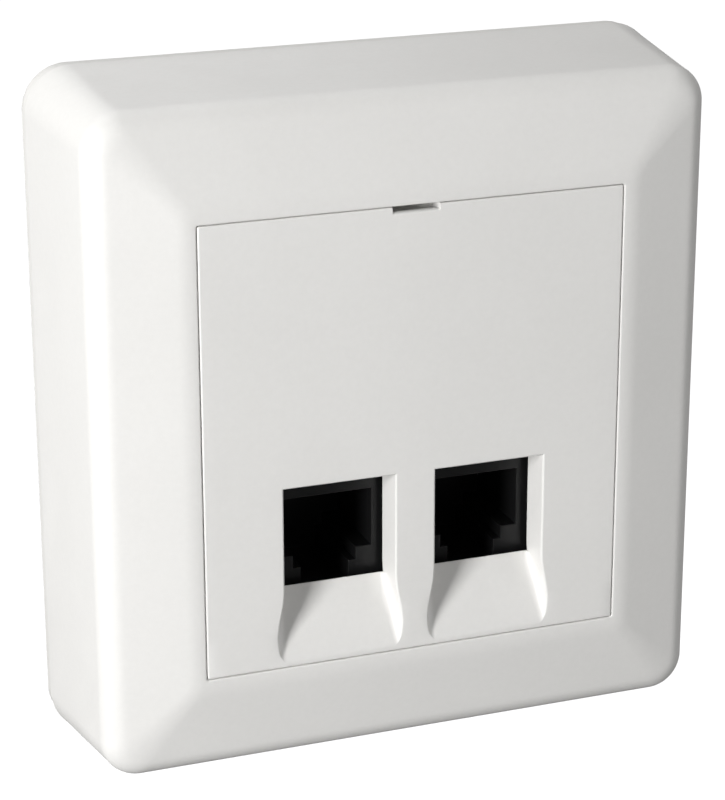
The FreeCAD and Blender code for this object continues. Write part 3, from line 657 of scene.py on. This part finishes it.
def wire_row(cx, name):
    """Eight sprung wires: a rounded bend at the front and a leg that slopes down into the socket."""
    bm = bmesh.new()
    pitch, thick = 1.02, 0.32
    slope = math.radians(24.0)
    centre = []
    # hooked front end, then the long leg with a slight bow
    d_pivot, z_pivot = 16.4, -8.75
    for a in range(-60, 121, 20):
        t = math.radians(a)
        centre.append((d_pivot + 0.16 * math.cos(t) - 0.05, z_pivot + 0.14 * math.sin(t) + 0.0))
    centre = [(d_pivot - 0.1, z_pivot + 0.12), (d_pivot + 0.08, z_pivot + 0.09), (d_pivot + 0.12, z_pivot - 0.04), (d_pivot - 0.02, z_pivot - 0.14)]
    for k in range(1, 13):
        t = k / 12
        run = 7.75 * t
        bow = 0.10 * math.sin(math.pi * t)
        centre.append((d_pivot - run * math.cos(slope) - 0.02, z_pivot - 0.14 - run * math.sin(slope) + bow * 0.6))
    for i in range(8):
        x = cx + pitch * (i - 3.5)
        loops = []
        n = 10
        for k, (d, z) in enumerate(centre):
            a = centre[max(0, k - 1)]
            c = centre[min(len(centre) - 1, k + 1)]
            td, tz = c[0] - a[0], c[1] - a[1]
            ln = math.hypot(td, tz) or 1.0
            td, tz = td / ln, tz / ln
            loop = []
            for j in range(n):
                ang = 2 * math.pi * j / n
                ox, on = math.cos(ang) * thick * 0.5, math.sin(ang) * thick * 0.38
                loop.append(bm.verts.new(((x + ox) * MM, -(d - tz * on) * MM, (z + td * on) * MM)))
            loops.append(loop)
        for a, c in zip(loops, loops[1:]):
            for j in range(n):
                bm.faces.new((a[j], a[(j + 1) % n], c[(j + 1) % n], c[j]))
        bm.faces.new(loops[0])
        bm.faces.new(loops[-1])
    bmesh.ops.recalc_face_normals(bm, faces=bm.faces[:])
    me = bpy.data.meshes.new(name)
    bm.to_mesh(me)
    bm.free()
    me.polygons.foreach_set("use_smooth", [True] * len(me.polygons))
    mark_sharp(me, 50)
    ob = bpy.data.objects.new(name, me)
    bpy.context.scene.collection.objects.link(ob)
    return ob


wires_l = wire_row(-CX, "wire_row_left")
wires_r = wire_row(CX, "wire_row_right")

# ------------------------------------------------------------------ materials


def new_material(name):
    mat = bpy.data.materials.new(name)
    mat.use_nodes = True
    nt = mat.node_tree
    nt.nodes.clear()
    out = nt.nodes.new("ShaderNodeOutputMaterial")
    bsdf = nt.nodes.new("ShaderNodeBsdfPrincipled")
    nt.links.new(bsdf.outputs["BSDF"], out.inputs["Surface"])
    co = nt.nodes.new("ShaderNodeTexCoord")
    return mat, nt, bsdf, co.outputs["Object"]


def noise(nt, co, scale, detail=3.0, rough=0.55):
    n = nt.nodes.new("ShaderNodeTexNoise")
    n.inputs["Scale"].default_value = scale
    n.inputs["Detail"].default_value = detail
    n.inputs["Roughness"].default_value = rough
    nt.links.new(co, n.inputs["Vector"])
    return n.outputs["Fac"]


def spread(nt, fac, lo, hi, a=0.3, c=0.7):
    m = nt.nodes.new("ShaderNodeMapRange")
    m.inputs["From Min"].default_value = a
    m.inputs["From Max"].default_value = c
    m.inputs["To Min"].default_value = lo
    m.inputs["To Max"].default_value = hi
    nt.links.new(fac, m.inputs["Value"])
    return m.outputs["Result"]


def plastic(name, colour, other, rough=(0.4, 0.5), grain=0.0, grain_scale=9000.0, wave=0.0, coat=0.0, spec=0.5, sss=0.0):
    """Moulded plastic: slow colour drift, fine moulded grain, uneven gloss."""
    mat, nt, bsdf, co = new_material(name)
    drift = noise(nt, co, 45.0, 2.0)
    fine = noise(nt, co, 1400.0, 4.0, 0.6)
    mix = nt.nodes.new("ShaderNodeMix")
    mix.data_type = "RGBA"
    mix.inputs["A"].default_value = (*colour, 1)
    mix.inputs["B"].default_value = (*other, 1)
    both = nt.nodes.new("ShaderNodeMath")
    both.operation = "MULTIPLY_ADD"
    both.inputs[1].default_value = 0.45
    nt.links.new(fine, both.inputs[0])
    half = nt.nodes.new("ShaderNodeMath")
    half.operation = "MULTIPLY"
    half.inputs[1].default_value = 0.55
    nt.links.new(drift, half.inputs[0])
    nt.links.new(half.outputs[0], both.inputs[2])
    nt.links.new(spread(nt, both.outputs[0], 0.0, 1.0, 0.35, 0.65), mix.inputs["Factor"])
    nt.links.new(mix.outputs["Result"], bsdf.inputs["Base Color"])
    nt.links.new(spread(nt, noise(nt, co, 260.0, 3.0), rough[0], rough[1]), bsdf.inputs["Roughness"])
    bsdf.inputs["Specular IOR Level"].default_value = spec
    bsdf.inputs["Coat Weight"].default_value = coat
    if sss:
        bsdf.inputs["Subsurface Weight"].default_value = sss
        bsdf.inputs["Subsurface Radius"].default_value = (0.0011, 0.0010, 0.0008)
        bsdf.inputs["Subsurface Scale"].default_value = 1.0
    if grain or wave:
        bump = nt.nodes.new("ShaderNodeBump")
        bump.inputs["Strength"].default_value = 1.0
        bump.inputs["Distance"].default_value = grain * MM
        nt.links.new(noise(nt, co, grain_scale, 2.0, 0.5), bump.inputs["Height"])
        if wave:
            low = nt.nodes.new("ShaderNodeBump")
            low.inputs["Strength"].default_value = 1.0
            low.inputs["Distance"].default_value = wave * MM
            nt.links.new(noise(nt, co, 70.0, 1.0), low.inputs["Height"])
            nt.links.new(low.outputs["Normal"], bump.inputs["Normal"])
        nt.links.new(bump.outputs["Normal"], bsdf.inputs["Normal"])
    return mat


def metal(name, colour, other, rough=(0.22, 0.38), scale=700.0, stretch=(1, 1, 1), grain=0.004):
    mat, nt, bsdf, co = new_material(name)
    mp = nt.nodes.new("ShaderNodeMapping")
    mp.inputs["Scale"].default_value = stretch
    nt.links.new(co, mp.inputs["Vector"])
    f = noise(nt, mp.outputs["Vector"], scale, 4.0, 0.6)
    mix = nt.nodes.new("ShaderNodeMix")
    mix.data_type = "RGBA"
    mix.inputs["A"].default_value = (*colour, 1)
    mix.inputs["B"].default_value = (*other, 1)
    nt.links.new(spread(nt, f, 0.0, 1.0), mix.inputs["Factor"])
    nt.links.new(mix.outputs["Result"], bsdf.inputs["Base Color"])
    bsdf.inputs["Metallic"].default_value = 1.0
    nt.links.new(spread(nt, noise(nt, mp.outputs["Vector"], scale * 2.2, 3.0), rough[0], rough[1]), bsdf.inputs["Roughness"])
    bump = nt.nodes.new("ShaderNodeBump")
    bump.inputs["Strength"].default_value = 1.0
    bump.inputs["Distance"].default_value = grain * MM
    nt.links.new(f, bump.inputs["Height"])
    nt.links.new(bump.outputs["Normal"], bsdf.inputs["Normal"])
    return mat


WHITE = plastic("moulded_white", (0.800, 0.792, 0.772), (0.770, 0.762, 0.742), (0.40, 0.50), grain=0.006, grain_scale=5200.0, wave=0.004, spec=0.45)
BASE_WHITE = plastic("moulded_base_white", (0.765, 0.757, 0.735), (0.735, 0.726, 0.702), (0.50, 0.60), grain=0.010, grain_scale=4200.0, spec=0.4)
BLACK = plastic("jack_black", (0.0072, 0.0072, 0.0076), (0.0056, 0.0056, 0.0060), (0.30, 0.40), grain=0.004, grain_scale=3000.0, spec=0.38)
GREY = plastic("comb_grey", (0.022, 0.022, 0.024), (0.016, 0.016, 0.018), (0.45, 0.55), grain=0.004, spec=0.4)
IVORY = plastic("block_ivory", (0.66, 0.63, 0.53), (0.61, 0.58, 0.48), (0.42, 0.52), grain=0.008, grain_scale=3600.0)
CLAMP = plastic("clamp_grey", (0.085, 0.086, 0.09), (0.065, 0.066, 0.07), (0.45, 0.55), grain=0.010, grain_scale=3600.0)
RUBBER = plastic("bush_rubber", (0.018, 0.018, 0.018), (0.012, 0.012, 0.012), (0.65, 0.8), grain=0.014, grain_scale=2600.0, spec=0.3)
GREEN = plastic("board_green", (0.010, 0.085, 0.035), (0.006, 0.060, 0.026), (0.22, 0.32), grain=0.006, grain_scale=2200.0, coat=0.25)
GOLD = metal("contact_gold", (0.90, 0.66, 0.26), (0.80, 0.56, 0.20), (0.16, 0.28), 900.0)
TIN = metal("contact_tin", (0.72, 0.72, 0.70), (0.60, 0.60, 0.59), (0.25, 0.42), 800.0)
STEEL = metal("screw_steel", (0.62, 0.63, 0.65), (0.50, 0.51, 0.53), (0.26, 0.42), 600.0)

MATS = {"shell_white": WHITE, "base_white": BASE_WHITE, "jack_black": BLACK, "comb_grey": GREY, "contact_gold": GOLD,
        "board_green": GREEN, "block_ivory": IVORY, "contact_tin": TIN, "screw_steel": STEEL, "clamp_grey": CLAMP, "bush_rubber": RUBBER}
BEVEL = {"base_plate": 0.2, "carrier_frame": 0.2, "circuit_board": 0.1, "jack_housing_left": 0.12, "jack_housing_right": 0.12,
         "contact_comb_left": 0.05, "contact_comb_right": 0.05, "idc_block_left": 0.15, "idc_block_right": 0.15,
         "idc_contacts_left": 0.04, "idc_contacts_right": 0.04, "board_screws": 0.12, "carrier_screws": 0.12, "clamp_screws": 0.12,
         "cable_clamp": 0.2, "cable_grommet": 0.15}
slot_of = {s["node"]: s["material_slot"] for s in frame["record"]["subparts"]}


def paint(ob, mat):
    ob.data.materials.clear()
    ob.data.materials.append(mat)


for name, ob in frame["nodes"].items():
    mat = MATS[slot_of[name]]
    if len(ob.material_slots) == 0:
        ob.data.materials.append(mat)
    for sl in ob.material_slots:
        sl.material = mat
    if name in BEVEL:
        weld = ob.modifiers.new("weld", "WELD")
        weld.merge_threshold = 1e-6
        bev = ob.modifiers.new("edges", "BEVEL")
        bev.width = BEVEL[name] * MM
        bev.segments = 2
        bev.limit_method = "ANGLE"
        bev.angle_limit = math.radians(40)
        bev.harden_normals = True

for ob, body, nodes, slot in ((hood, "hood", ["hood"], "shell_white"), (plate, "centre_plate", ["centre_plate"], "shell_white"),
                              (wires_l, "wires_left", ["contact_wires_left"], "contact_gold"),
                              (wires_r, "wires_right", ["contact_wires_right"], "contact_gold")):
    paint(ob, MATS[slot])
    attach(ob, body)
    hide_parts(*nodes)

# ------------------------------------------------------------------ floor, light, camera
lo, hi = CAD_LO, CAD_HI
bm = bmesh.new()
bmesh.ops.create_grid(bm, x_segments=2, y_segments=2, size=3.0)
me = bpy.data.meshes.new("floor")
bm.to_mesh(me)
bm.free()
floor = bpy.data.objects.new("floor", me)
# the box hangs on a wall, so the floor lies well below it and leaves its underside in view
floor.location = (0, 0, lo.z - 0.6)
bpy.context.scene.collection.objects.link(floor)
mat, nt, bsdf, co = new_material("floor_pale")
bsdf.inputs["Base Color"].default_value = (0.9, 0.9, 0.9, 1)
bsdf.inputs["Roughness"].default_value = 0.9
bsdf.inputs["Specular IOR Level"].default_value = 0.1
bsdf.inputs["Emission Color"].default_value = (1, 1, 1, 1)
bsdf.inputs["Emission Strength"].default_value = 0.92
floor.data.materials.append(mat)
# the floor only shows: the bounce under the box comes from the low lamp
floor.visible_diffuse = False
floor.visible_glossy = False
floor.visible_shadow = False

scene = bpy.context.scene
world = bpy.data.worlds.new("studio")
scene.world = world
world.use_nodes = True
bg = world.node_tree.nodes.get("Background") or world.node_tree.nodes.new("ShaderNodeBackground")
wout = world.node_tree.nodes.get("World Output") or world.node_tree.nodes.new("ShaderNodeOutputWorld")
path = world.node_tree.nodes.new("ShaderNodeLightPath")
bright = world.node_tree.nodes.new("ShaderNodeBackground")
bg.inputs["Color"].default_value = (1.0, 1.0, 1.0, 1)
bg.inputs["Strength"].default_value = 0.14
bright.inputs["Color"].default_value = (1, 1, 1, 1)
bright.inputs["Strength"].default_value = 1.05
mixs = world.node_tree.nodes.new("ShaderNodeMixShader")
world.node_tree.links.new(path.outputs["Is Camera Ray"], mixs.inputs["Fac"])
world.node_tree.links.new(bg.outputs[0], mixs.inputs[1])
world.node_tree.links.new(bright.outputs[0], mixs.inputs[2])
world.node_tree.links.new(mixs.outputs[0], wout.inputs["Surface"])


def area(name, azimuth, elevation, distance, size, power, colour=(1, 1, 1)):
    a, e = math.radians(azimuth), math.radians(elevation)
    back = Vector((-math.sin(a) * math.cos(e), -math.cos(a) * math.cos(e), math.sin(e)))
    data = bpy.data.lights.new(name, "AREA")
    data.shape = "RECTANGLE"
    data.size, data.size_y = size
    data.energy = power
    data.color = colour
    ob = bpy.data.objects.new(name, data)
    ob.location = back * distance
    ob.rotation_mode = "QUATERNION"
    ob.rotation_quaternion = (-back).to_track_quat("-Z", "Y")
    scene.collection.objects.link(ob)
    ob.visible_camera = False
    return ob


area("key", 55.5, 10, 0.55, (0.14, 0.27), 3.38)
area("fill_left", 95, 10, 0.8, (0.5, 0.7), 0.3)
area("fill_right", -55, 10, 0.9, (0.6, 0.6), 2.12)
area("top_near", 0, 110, 0.8, (0.6, 0.5), 1.85)
area("top_back", 0, 126, 0.8, (0.6, 0.5), 0.55)
area("top_far", 0, 145, 0.8, (0.6, 0.5), 1.15)
area("below", 0, -60, 0.8, (0.7, 0.5), 0.3)
area("fill_back", 180, -4, 0.9, (0.5, 0.4), 1.2)

cam_data = bpy.data.cameras.new("camera")
cam = bpy.data.objects.new("camera", cam_data)
scene.collection.objects.link(cam)
cam_data.sensor_fit = "AUTO"
cam_data.sensor_width = 36.0
cam_data.lens = 118.41356
cam_data.shift_x = 0.0
cam_data.shift_y = 0.0
cam_data.clip_start, cam_data.clip_end = 0.01, 20.0
right_v = Vector((0.9370695, -0.3491314, -0.0028344))
up_v = Vector((0.1167943, 0.3058052, 0.9449033))
fwd_v = Vector((0.3290287, 0.8857711, -0.3273373))
m = Matrix((
    (right_v.x, up_v.x, -fwd_v.x, -0.106550),
    (right_v.y, up_v.y, -fwd_v.y, -0.292961),
    (right_v.z, up_v.z, -fwd_v.z, 0.104283),
    (0, 0, 0, 1)))
cam.matrix_world = m
scene.camera = cam

scene.view_settings.view_transform = "Standard"
scene.view_settings.look = "None"
scene.view_settings.exposure = 0.0
scene.view_settings.gamma = 1.0
